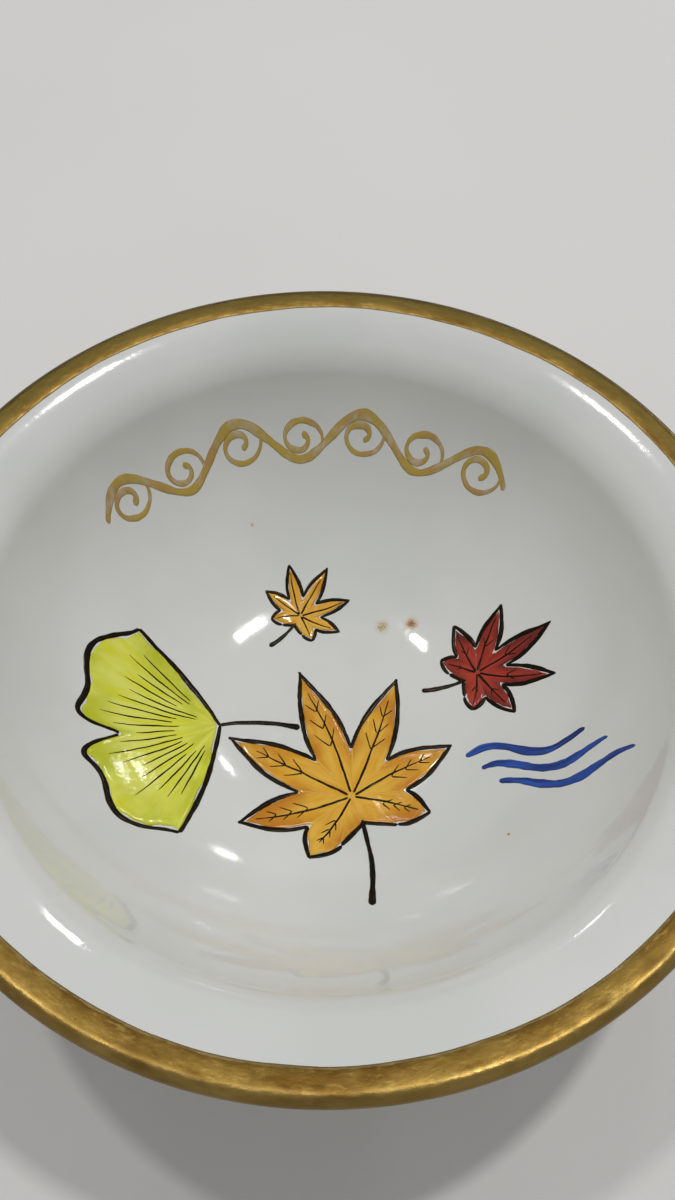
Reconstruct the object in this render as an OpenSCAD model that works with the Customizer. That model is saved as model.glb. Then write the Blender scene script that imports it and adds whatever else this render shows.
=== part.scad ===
// Sakazuki sake cup in glazed porcelain, with a gilt lip and autumn leaves in raised enamel
// Lengths in millimetres, slopes in degrees from level. +Z is up.
// The origin is the centre of the plane that the foot rests on; -Y faces the drinker.

/* [Bowl] */
// Outside diameter over the gilt lip
rim_d = 88; // [84:0.5:92]
// Thickness of the lip over its glaze
lip_t = 1.8; // [1.5:0.1:2.4]
// Radius of the outward curl at the edge of the lip
lip_curl_r = 12; // [11:0.25:13.5]
// Slope of the lip at its edge
lip_slope = 9; // [6:0.5:12]
// Slope of the straight rise of the lip
lip_rise = 35; // [32:0.5:38]
// Length of the straight rise, in plan
lip_run = 0.4; // [0.2:0.1:1.2]
// Radius of the shoulder, where the wall bends out into the lip
shoulder_bend_r = 6.5; // [5.5:0.25:7.5]
// Steepest slope of the wall, under the shoulder
wall_slope = 70; // [67:0.5:73]
// Radius of the round wall
wall_r = 29.5; // [28:0.25:31]
// Slope where the flatter floor runs into the wall
floor_slope = 6; // [4:0.5:8]
// Thickness of the bowl at its centre over both glazes
base_t = 3.4; // [3:0.1:4.4]

/* [Foot] */
// Outside diameter of the foot ring over its glaze
foot_d = 34; // [30:0.5:38]
// Width of the foot ring over its glaze
foot_w = 3.6; // [3:0.1:4.6]
// Depth of the recess inside the foot, at its centre
foot_recess = 5; // [4.5:0.1:6.5]
// Draw-in of the outside of the foot from the bowl to the edge
foot_taper = 0.5; // [0:0.1:0.8]
// Chamfer on either side of the resting edge
foot_chamfer = 0.5; // [0.3:0.1:0.7]
// Height of the bare clay edge that the glaze is wiped from
bare_h = 1.3; // [0.9:0.1:1.8]

/* [Coats] */
// Thickness of the glaze
glaze_t = 0.3; // [0.2:0.05:0.4]
// Reach of the glaze pooled in the corner above the foot
glaze_pool = 0.7; // [0.4:0.1:1.2]
// Thickness of the gilding on the lip
gilt_t = 0.1; // [0.08:0.02:0.16]
// Width of the gilding on the inside of the lip, in plan
gilt_w = 1.9; // [1.2:0.1:2.7]
// Thickness of the raised enamels
enamel_t = 0.2; // [0.12:0.02:0.28]
// Thickness of the drawn lines
ink_t = 0.12; // [0.08:0.02:0.2]

/* [Leaf design] */
// Reach of the large maple leaf from its heart to its tip
maple_size = 17; // [14:0.5:18]
// Place of its heart, to the right of the axis
maple_x = 3; // [0:0.5:6]
// Place of its heart, behind the axis
maple_y = -11.5; // [-14:0.5:-8]
// Bearing of its tip
maple_turn = 112; // [90:1:130]
// Length of its stalk
maple_stalk = 12; // [8:0.5:14]
// Reach of the red maple leaf
red_size = 9; // [7:0.5:10]
// Place of its heart, to the right of the axis
red_x = 18; // [15:0.5:20]
// Place of its heart, behind the axis
red_y = 3.5; // [1:0.5:5]
// Bearing of its tip
red_turn = 27; // [10:1:45]
// Length of its stalk
red_stalk = 6; // [4:0.5:8]
// Reach of the small maple leaf
small_size = 7; // [5:0.5:8]
// Place of its heart, to the right of the axis
small_x = -3.5; // [-6:0.5:2]
// Place of its heart, behind the axis
small_y = 12; // [10.5:0.5:13]
// Bearing of its tip
small_turn = 62; // [40:1:90]
// Length of its stalk
small_stalk = 5; // [4:0.5:6]
// Reach of the ginkgo leaf from its stalk to its edge
ginkgo_size = 16; // [13:0.5:17]
// Place of its heart, to the right of the axis
ginkgo_x = -12.5; // [-14:0.5:-10]
// Place of its heart, behind the axis
ginkgo_y = -3; // [-5:0.5:-1]
// Bearing of its cleft
ginkgo_turn = 196; // [185:1:205]
// Length of its stalk
ginkgo_stalk = 9; // [6:0.5:11]
// Width of the drawn outlines
line_w = 0.6; // [0.4:0.05:0.7]
// Width of the stalks at their middle
stalk_w = 0.75; // [0.5:0.05:0.9]

/* [Stream] */
// Number of strokes
stream_rows = 3; // [1:1:4]
// Width of a stroke at its middle
stream_w = 1.1; // [0.6:0.1:1.4]
// Length of a stroke
stream_len = 12; // [10:0.5:14]
// Place of the first stroke's middle, to the right of the axis
stream_x = 22; // [20:0.5:24]
// Place of the first stroke's middle, behind the axis
stream_y = -7; // [-9:0.5:-5]
// Distance from one stroke to the next
stream_gap = 2.3; // [1.8:0.1:3]
// Lead of each stroke over the one before
stream_lead = 1.6; // [0:0.1:2]
// Height of the waves
stream_wave = 0.9; // [0.5:0.1:1.2]

/* [Gold scroll] */
// Length of the scroll along the wall
scroll_len = 54; // [44:1:56]
// Bearing of the middle of the scroll
scroll_turn = 97; // [85:1:110]
// Distance of the vine below the shoulder, along the wall
scroll_drop = 8; // [7:0.25:10]
// Swing of the vine to either side
scroll_swing = 2.9; // [2:0.1:3.2]
// Width of the vine
vine_w = 0.8; // [0.5:0.1:1]
// Width of the curls
curl_w = 0.6; // [0.4:0.1:0.8]
// Bare glaze left between the scroll and a leaf
scroll_gap = 0.4; // [0.2:0.1:0.8]

/* [Hidden] */
$fn = 128;

// Colours
clay_colour = [0.86, 0.84, 0.80];
glaze_colour = [0.90, 0.91, 0.92];
gold_colour = [0.66, 0.50, 0.20];
ochre_colour = [0.82, 0.48, 0.12];
yellow_colour = [0.80, 0.80, 0.22];
red_colour = [0.55, 0.10, 0.08];
blue_colour = [0.14, 0.24, 0.60];
ink_colour = [0.10, 0.07, 0.05];

// Number of straight steps along each arc of the profile
floor_steps = 5;
wall_steps = 14;
shoulder_steps = 5;
lip_steps = 3;
gilt_steps = 3;
nose_steps = 8;
// Closest that two points of a profile lie
step_least = 0.05;

// The inside of the bowl runs smoothly from one stretch into the next:
// floor arc, wall arc, bend of the shoulder, straight rise of the lip, curl of its edge
edge_r = rim_d / 2 - gilt_t - lip_t / 2 - lip_t / 2 * sin(lip_slope);
lip_span = lip_curl_r * (sin(lip_rise) - sin(lip_slope));
shoulder_span = shoulder_bend_r * (sin(wall_slope) - sin(lip_rise));
wall_span = wall_r * (sin(wall_slope) - sin(floor_slope));
floor_r = edge_r - lip_span - lip_run - shoulder_span - wall_span;
floor_arc_r = floor_r / sin(floor_slope);
floor_z = foot_recess + base_t;
wall_z = floor_z + floor_arc_r * (1 - cos(floor_slope));
shoulder_r = floor_r + wall_span;
shoulder_z = wall_z + wall_r * (cos(floor_slope) - cos(wall_slope));
lip_start_r = shoulder_r + shoulder_span + lip_run;
lip_start_z = shoulder_z + shoulder_bend_r * (cos(lip_rise) - cos(wall_slope)) + lip_run * tan(lip_rise);
// Slope of the curl where the gilding starts
gilt_slope = asin(sin(lip_slope) + gilt_w / lip_curl_r);

// A station is [radius, height, slope] on the finished inside surface
function on_floor(a) = [floor_arc_r * sin(a), floor_z + floor_arc_r * (1 - cos(a)), a];
function on_wall(a) = [
    floor_r + wall_r * (sin(a) - sin(floor_slope)),
    wall_z + wall_r * (cos(floor_slope) - cos(a)),
    a
];
function on_shoulder(a) = [
    shoulder_r + shoulder_bend_r * (sin(wall_slope) - sin(a)),
    shoulder_z + shoulder_bend_r * (cos(a) - cos(wall_slope)),
    a
];
function on_lip(a) = [
    lip_start_r + lip_curl_r * (sin(lip_rise) - sin(a)),
    lip_start_z + lip_curl_r * (cos(a) - cos(lip_rise)),
    a
];
function part_way(a, b, k, n) = a + (b - a) * k / n;

stations = concat(
    [for (k = [0 : floor_steps - 1]) on_floor(part_way(0, floor_slope, k, floor_steps))],
    [for (k = [0 : wall_steps - 1]) on_wall(part_way(floor_slope, wall_slope, k, wall_steps))],
    [for (k = [0 : shoulder_steps]) on_shoulder(part_way(wall_slope, lip_rise, k, shoulder_steps))],
    [for (k = [0 : lip_steps - 1]) on_lip(part_way(lip_rise, gilt_slope, k, lip_steps))],
    [for (k = [0 : gilt_steps]) on_lip(part_way(gilt_slope, lip_slope, k, gilt_steps))]
);
last = len(stations) - 1;

// Points at a distance from the finished surfaces, measured square to them
function inside(s, d) = [s[0] - d * sin(s[2]), s[1] + d * cos(s[2])];
function thickness(i) = base_t + (lip_t - base_t) * i / last;
function outside(i, d) = inside(stations[i], -thickness(i) - d);

// Rounded edge of the lip, from the inside over the top to the outside
nose_at = inside(stations[last], -lip_t / 2);
function nose_turn(k) = 90 + lip_slope - 180 * k / nose_steps;
function nose(k, d) = nose_at + (lip_t / 2 + d) * [cos(nose_turn(k)), sin(nose_turn(k))];

function inside_line(d) = [for (s = stations) inside(s, d)];
function outside_line(d) = [for (i = [last : -1 : 0]) outside(i, d)];
function reversed(p) = [for (i = [len(p) - 1 : -1 : 0]) p[i]];
function under_z(r, d) = lookup(r, [for (i = [0 : last]) outside(i, d)]);

// Foot ring in clay, inside its glaze
ring_out = foot_d / 2 - glaze_t;
ring_in = foot_d / 2 - foot_w + glaze_t;
ring_top = under_z(ring_out, -glaze_t);
well_r = ring_in - glaze_t;
function foot_face_r(z) = ring_out - foot_taper * (ring_top - z) / (ring_top - foot_chamfer);

// Outline of a maple leaf with seven lobes, its middle lobe along +X
lobe_turn = [-126, -84, -42, 0, 42, 84, 126];
lobe_reach = [0.52, 0.76, 0.93, 1, 0.93, 0.76, 0.52];
lobe_half = 21;
lobe_notch = 0.36;
lobe_bow = 1.1;
lobe_steps = [-1, -0.7, -0.44, -0.2, 0, 0.2, 0.44, 0.7];
maple_heel = 0.2;
function towards(a) = [cos(a), sin(a)];
function lobe_r(reach, u) = lobe_notch + (reach - lobe_notch) * pow(1 - abs(u), lobe_bow);
function maple(size) = concat(
    [
        for (j = [0 : len(lobe_turn) - 1], u = lobe_steps)
        size * lobe_r(lobe_reach[j], u) * towards(lobe_turn[j] + lobe_half * u)
    ],
    [
        size * lobe_notch * towards(lobe_turn[len(lobe_turn) - 1] + lobe_half),
        [-maple_heel * size, 0]
    ]
);

// Outline of a ginkgo leaf: a fan with a waved edge and a cleft, its stalk at the origin
fan_half = 62;
fan_steps = 26;
cleft_depth = 0.3;
cleft_half = 6;
fan_wave = 0.05;
fan_pitch = 41;
function cleft(a) = cleft_depth * exp(-pow(a / cleft_half, 2));
function fan_r(a) = 1 - cleft(a) - fan_wave * (1 - cos(a * 360 / fan_pitch));
function ginkgo(size) = concat(
    [[0, 0]],
    [
        for (k = [0 : fan_steps])
        let (a = part_way(-fan_half, fan_half, k, fan_steps))
        size * fan_r(a) * towards(a)
    ]
);

// Outlines moved square to themselves, turned and set in place
mitre_least = 0.4;
function across(v) = [v[1], -v[0]] / norm(v);
function grown(p, d) = [
    for (i = [0 : len(p) - 1])
    let (
        n = len(p),
        before = across(p[i] - p[(i + n - 1) % n]),
        after = across(p[(i + 1) % n] - p[i])
    )
    p[i] + d * (before + after) / max(mitre_least, 1 + before * after)
];
function turned(v, a) = [v[0] * cos(a) - v[1] * sin(a), v[0] * sin(a) + v[1] * cos(a)];
function placed(p, at, a) = [for (v = p) at + turned(v, a)];

// Leaves in painting order: each lies over those after it
MAPLE = 0;
RED = 1;
SMALL = 2;
GINKGO = 3;
leaves = [MAPLE, RED, SMALL, GINKGO];
leaf_form = [maple(maple_size), maple(red_size), maple(small_size), ginkgo(ginkgo_size)];
leaf_at = [[maple_x, maple_y], [red_x, red_y], [small_x, small_y], [ginkgo_x, ginkgo_y]];
leaf_turn = [maple_turn, red_turn, small_turn, ginkgo_turn];
leaf_stalk = [maple_stalk, red_stalk, small_stalk, ginkgo_stalk];
function leaf_edge(i, d) = placed(grown(leaf_form[i], d), leaf_at[i], leaf_turn[i]);

// A brush stroke along a line of points, widest in the middle
stroke_tip = 0.35;
stroke_full = 0.7;
function stroke_side(c, i) = across(c[min(i + 1, len(c) - 1)] - c[max(i - 1, 0)]);
function swell(k, n) = stroke_tip + (1 - stroke_tip) * pow(sin(180 * k / n), stroke_full);
function stroke(c, w) = let (n = len(c) - 1) concat(
    [for (i = [0 : n]) c[i] + stroke_side(c, i) * w / 2 * swell(i, n)],
    [for (i = [n : -1 : 0]) c[i] - stroke_side(c, i) * w / 2 * swell(i, n)]
);

// A stalk bends away from the heart of its leaf
stalk_steps = 8;
stalk_bend = 0.27;
function stalk(len) = [
    for (k = [0 : stalk_steps])
    len * [-k / stalk_steps, stalk_bend * pow(k / stalk_steps, 2)]
];

// Stream strokes, one in front of the other
stream_steps = 14;
wave_sweep = 400;
wave_lag = 35;
function stream_line(row) = [
    for (k = [0 : stream_steps])
    [
        stream_x + stream_len * (k / stream_steps - 0.5) + row * stream_lead,
        stream_y - row * stream_gap + stream_wave * sin(wave_sweep * k / stream_steps + row * wave_lag)
    ]
];

// The scroll is drawn flat, then wrapped round the far wall
scroll_r = on_wall(wall_slope - scroll_drop / wall_r * 180 / PI)[0];
function wrapped(v) = let (
    a = wall_slope - v[1] / wall_r * 180 / PI,
    bearing = scroll_turn - v[0] / scroll_r * 180 / PI
) on_wall(a)[0] * towards(bearing);
function wrapped_all(p) = [for (v = p) wrapped(v)];
scroll_bends = 7;
bend_steps = 7;
bend_len = scroll_len / scroll_bends;
vine = [
    for (k = [0 : scroll_bends * bend_steps])
    [
        part_way(-scroll_len / 2, scroll_len / 2, k, scroll_bends * bend_steps),
        scroll_drop - scroll_swing * sin(180 * k / bend_steps)
    ]
];

// Each bend of the vine ends in a curl that winds into the hollow of the bend
curl_steps = 15;
curl_start = 22;
curl_sweep = 450;
curl_close = 0.8;
curl_share = 0.377;
curl_reach = curl_share * bend_len;
curl_join = 180 * (0.5 + curl_share * cos(curl_start));
curl_rise = scroll_swing * sin(curl_join) - curl_reach * sin(curl_start);
function curl(b) = let (
    side = (b % 2 == 0) ? 1 : -1
) [
    for (k = [0 : curl_steps])
    let (
        reach = curl_reach * (1 - curl_close * k / curl_steps),
        a = curl_start - curl_sweep * k / curl_steps
    )
    [
        (b + 0.5) * bend_len - scroll_len / 2 + reach * cos(a),
        scroll_drop - side * (curl_rise + reach * sin(a))
    ]
];

// Solids of revolution
module turned_solid(outline) {
    rotate_extrude(convexity = 6)
        polygon(outline);
}

// A thin layer on the finished inside surface, from the centre to the gilding
module laid_on_glaze(t) {
    laid = [for (i = [0 : last - gilt_steps]) stations[i]];
    turned_solid(concat(
        [for (s = laid) inside(s, 0)],
        reversed([for (s = laid) inside(s, t)])
    ));
}

// A flat drawing carried straight up or down onto the inside surface
module painted(t) {
    intersection() {
        laid_on_glaze(t);
        linear_extrude(height = stations[last][1])
            children();
    }
}

module leaf(i, d) {
    polygon(leaf_edge(i, d));
}

module leaves_over(i, d) {
    for (j = [0 : 1 : i - 1])
        leaf(j, d);
}

module all_leaves(d) {
    for (i = leaves)
        leaf(i, d);
}

// The enamel of a leaf, inside its outline and clear of the leaves over it
module leaf_field(i) {
    difference() {
        leaf(i, -line_w / 2);
        leaves_over(i, line_w / 2);
    }
}

module leaf_outline(i) {
    difference() {
        leaf(i, line_w / 2);
        leaf(i, -line_w / 2);
        leaves_over(i, -line_w / 2);
    }
}

module stalks() {
    for (i = leaves)
        polygon(placed(stroke(stalk(leaf_stalk[i]), stalk_w), leaf_at[i], leaf_turn[i]));
}

module stream() {
    for (row = [0 : stream_rows - 1])
        polygon(stroke(stream_line(row), stream_w));
}

module bowl() {
    color(clay_colour)
        turned_solid(concat(
            inside_line(-glaze_t),
            [for (k = [1 : nose_steps - 1]) nose(k, -glaze_t)],
            outside_line(-glaze_t)
        ));
}

module foot_ring() {
    under = [for (p = outside_line(-glaze_t)) if (p[0] < ring_out - step_least) p];
    seat = [for (p = under) if (p[0] > ring_in + step_least) p];
    color(clay_colour)
        turned_solid(concat(
            [
                [ring_in, foot_chamfer],
                [ring_in + foot_chamfer, 0],
                [ring_out - foot_taper - foot_chamfer, 0],
                [ring_out - foot_taper, foot_chamfer],
                [ring_out, ring_top]
            ],
            seat,
            [[ring_in, under_z(ring_in, -glaze_t)]]
        ));
}

module inside_glaze() {
    half = nose_steps / 2;
    color(glaze_colour)
        turned_solid(concat(
            inside_line(0),
            [for (k = [1 : half]) nose(k, 0)],
            [for (k = [half : -1 : 1]) nose(k, -glaze_t)],
            reversed(inside_line(-glaze_t))
        ));
}

module outside_glaze() {
    half = nose_steps / 2;
    pool_r = foot_d / 2 + glaze_pool;
    pool_z = under_z(foot_d / 2, 0) - glaze_pool;
    color(glaze_colour)
        turned_solid(concat(
            [for (k = [half : nose_steps - 1]) nose(k, 0)],
            [for (p = outside_line(0)) if (p[0] > pool_r + step_least) p],
            [
                [pool_r, under_z(pool_r, 0)],
                [foot_face_r(pool_z) + glaze_t, pool_z],
                [foot_face_r(bare_h) + glaze_t, bare_h],
                [foot_face_r(bare_h), bare_h],
                [ring_out, ring_top]
            ],
            reversed([for (p = outside_line(-glaze_t)) if (p[0] > ring_out + step_least) p]),
            [for (k = [nose_steps - 1 : -1 : half]) nose(k, -glaze_t)]
        ));
}

module foot_well_glaze() {
    color(glaze_colour)
        turned_solid(concat(
            [
                [ring_in, bare_h],
                [ring_in, under_z(ring_in, -glaze_t)]
            ],
            [for (p = outside_line(-glaze_t)) if (p[0] < ring_in - step_least) p],
            reversed([for (p = outside_line(0)) if (p[0] < well_r - step_least) p]),
            [
                [well_r, under_z(well_r, 0)],
                [well_r, bare_h]
            ]
        ));
}

module lip_gilding() {
    band = [for (i = [last - gilt_steps : last]) stations[i]];
    color(gold_colour)
        turned_solid(concat(
            [for (s = band) inside(s, gilt_t)],
            [for (k = [1 : nose_steps - 1]) nose(k, gilt_t)],
            [for (i = [last : -1 : last - 2]) outside(i, gilt_t)],
            [for (i = [last - 2 : last]) outside(i, 0)],
            [for (k = [nose_steps - 1 : -1 : 1]) nose(k, 0)],
            reversed([for (s = band) inside(s, 0)])
        ));
}

module ochre_enamel() {
    color(ochre_colour)
        painted(enamel_t) {
            leaf_field(MAPLE);
            leaf_field(SMALL);
        }
}

module yellow_enamel() {
    color(yellow_colour)
        painted(enamel_t)
            leaf_field(GINKGO);
}

module red_enamel() {
    color(red_colour)
        painted(enamel_t)
            leaf_field(RED);
}

module blue_enamel() {
    color(blue_colour)
        painted(enamel_t)
            difference() {
                stream();
                all_leaves(line_w / 2);
            }
}

module black_linework() {
    color(ink_colour)
        painted(ink_t) {
            for (i = leaves)
                leaf_outline(i);
            difference() {
                stalks();
                all_leaves(-line_w / 2);
                stream();
            }
        }
}

module gold_scroll() {
    color(gold_colour)
        painted(ink_t)
            difference() {
                union() {
                    polygon(wrapped_all(stroke(vine, vine_w)));
                    for (b = [0 : scroll_bends - 1])
                        polygon(wrapped_all(stroke(curl(b), curl_w)));
                }
                all_leaves(line_w / 2 + scroll_gap);
            }
}

bowl();
foot_ring();
inside_glaze();
outside_glaze();
foot_well_glaze();
lip_gilding();
ochre_enamel();
yellow_enamel();
red_enamel();
blue_enamel();
black_linework();
gold_scroll();
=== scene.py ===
import math
from typing import NamedTuple

import bpy
import numpy as np
from mathutils import Matrix, Vector


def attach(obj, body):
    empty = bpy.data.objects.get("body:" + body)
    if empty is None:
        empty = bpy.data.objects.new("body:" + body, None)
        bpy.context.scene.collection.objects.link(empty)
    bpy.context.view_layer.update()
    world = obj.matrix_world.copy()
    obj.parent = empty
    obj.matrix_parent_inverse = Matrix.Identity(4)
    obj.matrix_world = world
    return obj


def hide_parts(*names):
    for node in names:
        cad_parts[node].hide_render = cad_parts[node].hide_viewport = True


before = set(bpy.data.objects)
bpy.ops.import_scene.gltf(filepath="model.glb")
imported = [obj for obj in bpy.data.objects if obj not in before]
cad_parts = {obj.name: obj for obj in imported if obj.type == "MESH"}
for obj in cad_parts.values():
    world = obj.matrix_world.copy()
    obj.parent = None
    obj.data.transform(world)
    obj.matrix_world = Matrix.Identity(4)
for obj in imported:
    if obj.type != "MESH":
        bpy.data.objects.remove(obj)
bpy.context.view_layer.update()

# Shapes are worked out in millimetres and radians; the meshes are in metres.
MM = 0.001

# The cup's own sizes
RIM_D = 88.0
LIP_T = 1.8
LIP_CURL_R = 12.0
LIP_SLOPE = math.radians(9)
LIP_RISE = math.radians(35)
LIP_RUN = 0.4
SHOULDER_R = 6.5
WALL_SLOPE = math.radians(70)
WALL_R = 29.5
FLOOR_SLOPE = math.radians(6)
BASE_T = 3.4
FOOT_D = 34.0
FOOT_W = 3.6
FOOT_RECESS = 5.0
FOOT_DRAW_IN = 0.5
FOOT_ROUND = 0.5
BARE_H = 1.3
GLAZE_T = 0.3
POOL_R = 0.9
WELL_BEND_R = 0.8
GILT_T = 0.1
GILT_W = 1.9
GILT_OUT_W = 1.1

# The inside profile: floor, round wall, bend of the shoulder, straight rise of the lip, curl of its edge
EDGE_R = RIM_D / 2 - GILT_T - LIP_T / 2 * (1 + math.sin(LIP_SLOPE))
CURL_SPAN = LIP_CURL_R * (math.sin(LIP_RISE) - math.sin(LIP_SLOPE))
BEND_SPAN = SHOULDER_R * (math.sin(WALL_SLOPE) - math.sin(LIP_RISE))
WALL_SPAN = WALL_R * (math.sin(WALL_SLOPE) - math.sin(FLOOR_SLOPE))
FLOOR_R = EDGE_R - CURL_SPAN - LIP_RUN - BEND_SPAN - WALL_SPAN
FLOOR_ARC_R = FLOOR_R / math.sin(FLOOR_SLOPE)
FLOOR_Z = FOOT_RECESS + BASE_T
GILT_SLOPE = math.asin(math.sin(LIP_SLOPE) + GILT_W / LIP_CURL_R)

# Mesh fineness
AROUND = 288
STATION_STEPS = 5
ARC_STEPS = 8
GILT_ROWS = 30
FIELD_RINGS = 26
LOBE_POINTS = 18
HEEL_POINTS = 6
FAN_RIM, FAN_SIDE = 120, 24
FINE = 400
STROKE_STEP = 0.22
STROKE_ROWS = 9, 420
TURN = np.linspace(0, 2 * np.pi, AROUND, endpoint=False)

# An uneven hand: its three waves' pitches, their spread by the seed, and their shares
HAND_PITCH = np.array([1.0, 2.1, 4.3])
HAND_SPREAD = 0.6, 2.4
HAND_SHARE = np.array([0.6, 0.3, 0.16])


# Shapes in general

def ripple(t, strength, seed):
    """An uneven hand: three sine waves of t with seeded pitch and phase, added and scaled by strength."""
    dice = np.random.default_rng(seed)
    pitch = dice.uniform(*HAND_SPREAD, len(HAND_PITCH)) * HAND_PITCH
    phase = dice.uniform(0, 2 * np.pi, len(HAND_PITCH))
    return strength * (HAND_SHARE * np.sin(np.multiply.outer(t, pitch) + phase)).sum(-1)


def turned_by(points, angle):
    """Plan points turned about the origin by an angle in radians."""
    c, s = math.cos(angle), math.sin(angle)
    return points @ np.array([[c, s], [-s, c]])


def skin(rings, start=None, end=None):
    """A closed shell over rings of points: each ring joins the next, and a pole closes either end.
    Without poles the last ring joins the first. Returns points, quads and triangles that face out."""
    n, m = rings.shape[:2]
    points = rings.reshape(-1, 3)
    i = np.arange(n if start is None else n - 1)[:, None] * m
    j = np.arange(m)
    here, there = i + j, (i + m) % (n * m) + j
    quads = np.stack([here, np.roll(here, -1, 1), np.roll(there, -1, 1), there], -1).reshape(-1, 4)
    tris = np.zeros((0, 3), int)
    if start is not None:
        first, last = j, (n - 1) * m + j
        lid = np.stack([np.full(m, n * m), np.roll(first, -1), first], -1)
        base = np.stack([np.full(m, n * m + 1), last, np.roll(last, -1)], -1)
        tris = np.concatenate([lid, base])
        points = np.concatenate([points, [start, end]])
    corners = np.concatenate([quads[:, [0, 1, 2]], quads[:, [0, 2, 3]], tris])
    a, b, c = points[corners[:, 0]], points[corners[:, 1]], points[corners[:, 2]]
    if (a * np.cross(b, c)).sum() < 0:
        quads, tris = quads[:, ::-1], tris[:, ::-1]
    return points, quads, tris


def placed(name, data):
    """A new object in the scene."""
    obj = bpy.data.objects.new(name, data)
    bpy.context.scene.collection.objects.link(obj)
    return obj


def piece(name, shells, finish, marks=None):
    """One object from closed shells, with marks as point attributes. It rides on the cup's one body and
    stands for the CAD node of its name."""
    points, faces, count = [], [], 0
    for verts, quads, tris in shells:
        points.append(verts)
        faces += (quads + count).tolist() + (tris + count).tolist()
        count += len(verts)
    mesh = bpy.data.meshes.new(name)
    mesh.from_pydata((np.concatenate(points) * MM).tolist(), [], faces)
    mesh.polygons.foreach_set("use_smooth", np.ones(len(faces), bool))
    for mark, values in (marks or {}).items():
        values = np.concatenate(values).astype(np.float32)
        kind, field = ("FLOAT", "value") if values.ndim == 1 else ("FLOAT_VECTOR", "vector")
        mesh.attributes.new(mark, kind, "POINT").data.foreach_set(field, values.ravel())
    mesh.materials.append(finish)
    mesh.update()
    obj = placed(name, mesh)
    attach(obj, "root")
    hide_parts(name)


def towards(a):
    """Steps of one in plan, or in a profile, at angles in radians."""
    return np.stack([np.cos(a), np.sin(a)], -1)


def turned_round(r, z):
    """Rings of radii and heights turned about the axis."""
    x = r * np.cos(TURN)
    return np.stack([x, r * np.sin(TURN), np.broadcast_to(z, x.shape)], -1)


def revolved(profile):
    """Rings of a profile of (radius, height) points turned about the axis."""
    return turned_round(profile[:, 0:1], profile[:, 1:2])


def there_and_back(rows):
    """Rows of values for a front, then in turn for the back behind it."""
    return np.concatenate([rows, rows[::-1]])


# The cup's profile

def stations():
    """Radius, height, slope and thickness along the inside, from the axis to the edge of the lip.
    Each stretch is an arc from one slope to the next, or a straight run; the thickness goes step by step
    from the centre's to the lip's."""
    stretches = [(FLOOR_ARC_R, 0.0, FLOOR_SLOPE, 5), (WALL_R, FLOOR_SLOPE, WALL_SLOPE, 14),
                 (-SHOULDER_R, WALL_SLOPE, LIP_RISE, 5), (LIP_RUN, LIP_RISE, LIP_RISE, 1),
                 (-LIP_CURL_R, LIP_RISE, GILT_SLOPE, 3), (-LIP_CURL_R, GILT_SLOPE, LIP_SLOPE, 3)]
    line, done = [np.array([[0.0, FLOOR_Z, 0.0, 0.0]])], 0
    for size, low, high, steps in stretches:
        t = np.arange(1, steps * STATION_STEPS + 1) / (steps * STATION_STEPS)
        slope = low + (high - low) * t
        if low == high:
            run, rise = size * t, size * t * math.tan(low)
        else:
            run, rise = size * (np.sin(slope) - math.sin(low)), size * (math.cos(low) - np.cos(slope))
        r, z = line[-1][-1, :2]
        line.append(np.stack([r + run, z + rise, slope, done + steps * t], -1))
        done += steps
    r, z, slope, step = np.concatenate(line).T
    return r, z, slope, BASE_T + (LIP_T - BASE_T) * step / done


S_R, S_Z, S_SLOPE, S_T = stations()

# The glaze's waves: heights, the calm width at the lip, and the width where they die out
WARP, SWAY, FLOW = 0.030, 0.014, 0.006
CALM_W, CALM_FADE = 3.0, 5.0

# A radius that counts as the axis
ON_AXIS = 1e-6


def sin_slope_at(r):
    """Sine of the inside's slope at a radius: it changes evenly with the radius along each arc."""
    return np.interp(r, S_R, np.sin(S_SLOPE))


def height_at(r):
    """Height of the finished inside at a radius: a cubic between stations, true to their slopes."""
    k = np.clip(np.searchsorted(S_R, r) - 1, 0, len(S_R) - 2)
    wide = S_R[k + 1] - S_R[k]
    t = (r - S_R[k]) / wide
    fall, climb = np.tan(S_SLOPE[k]) * wide, np.tan(S_SLOPE[k + 1]) * wide
    rise = S_Z[k + 1] - S_Z[k]
    return S_Z[k] + t * fall + t ** 2 * (3 * rise - 2 * fall - climb) + t ** 3 * (fall + climb - 2 * rise)


def unevenness(x, y):
    """How far the glaze stands off the true profile: slow waves that die out at the lip."""
    r = np.hypot(x, y)
    a = np.arctan2(y, x)
    warp = WARP * np.sin(2 * a + 0.8) * (r / EDGE_R) ** 2
    sway = SWAY * np.sin(0.34 * x + 0.12 * y + 0.4) * np.cos(0.29 * y - 0.1 * x - 0.9)
    flow = FLOW * np.sin(0.71 * x - 0.33 * y) * np.sin(0.64 * y + 0.25 * x + 1.3)
    return (warp + sway + flow) * np.clip((EDGE_R - CALM_W - r) / CALM_FADE, 0, 1)


def on_inside(x, y, lift=0.0):
    """Places on the finished inside over plan points, raised square to the surface by lift."""
    r = np.hypot(x, y)
    s = sin_slope_at(r)
    rise = lift + unevenness(x, y)
    back = rise * s / np.maximum(r, ON_AXIS)
    return np.stack([x * (1 - back), y * (1 - back), height_at(r) + rise * np.sqrt(1 - s * s)], -1)


def beside(depth):
    """The inside profile moved square to itself by a depth into the wall."""
    return np.stack([S_R + depth * np.sin(S_SLOPE), S_Z - depth * np.cos(S_SLOPE)], -1)


def lip_nose(depth, low, high, steps=12):
    """Arc over the lip's edge between two shares of its half circle, inside to outside."""
    half = LIP_T / 2
    centre = np.array([S_R[-1] + half * math.sin(LIP_SLOPE), S_Z[-1] - half * math.cos(LIP_SLOPE)])
    a = math.pi / 2 + LIP_SLOPE - math.pi * np.linspace(low, high, steps)
    return centre + (half - depth) * towards(a)


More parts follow.
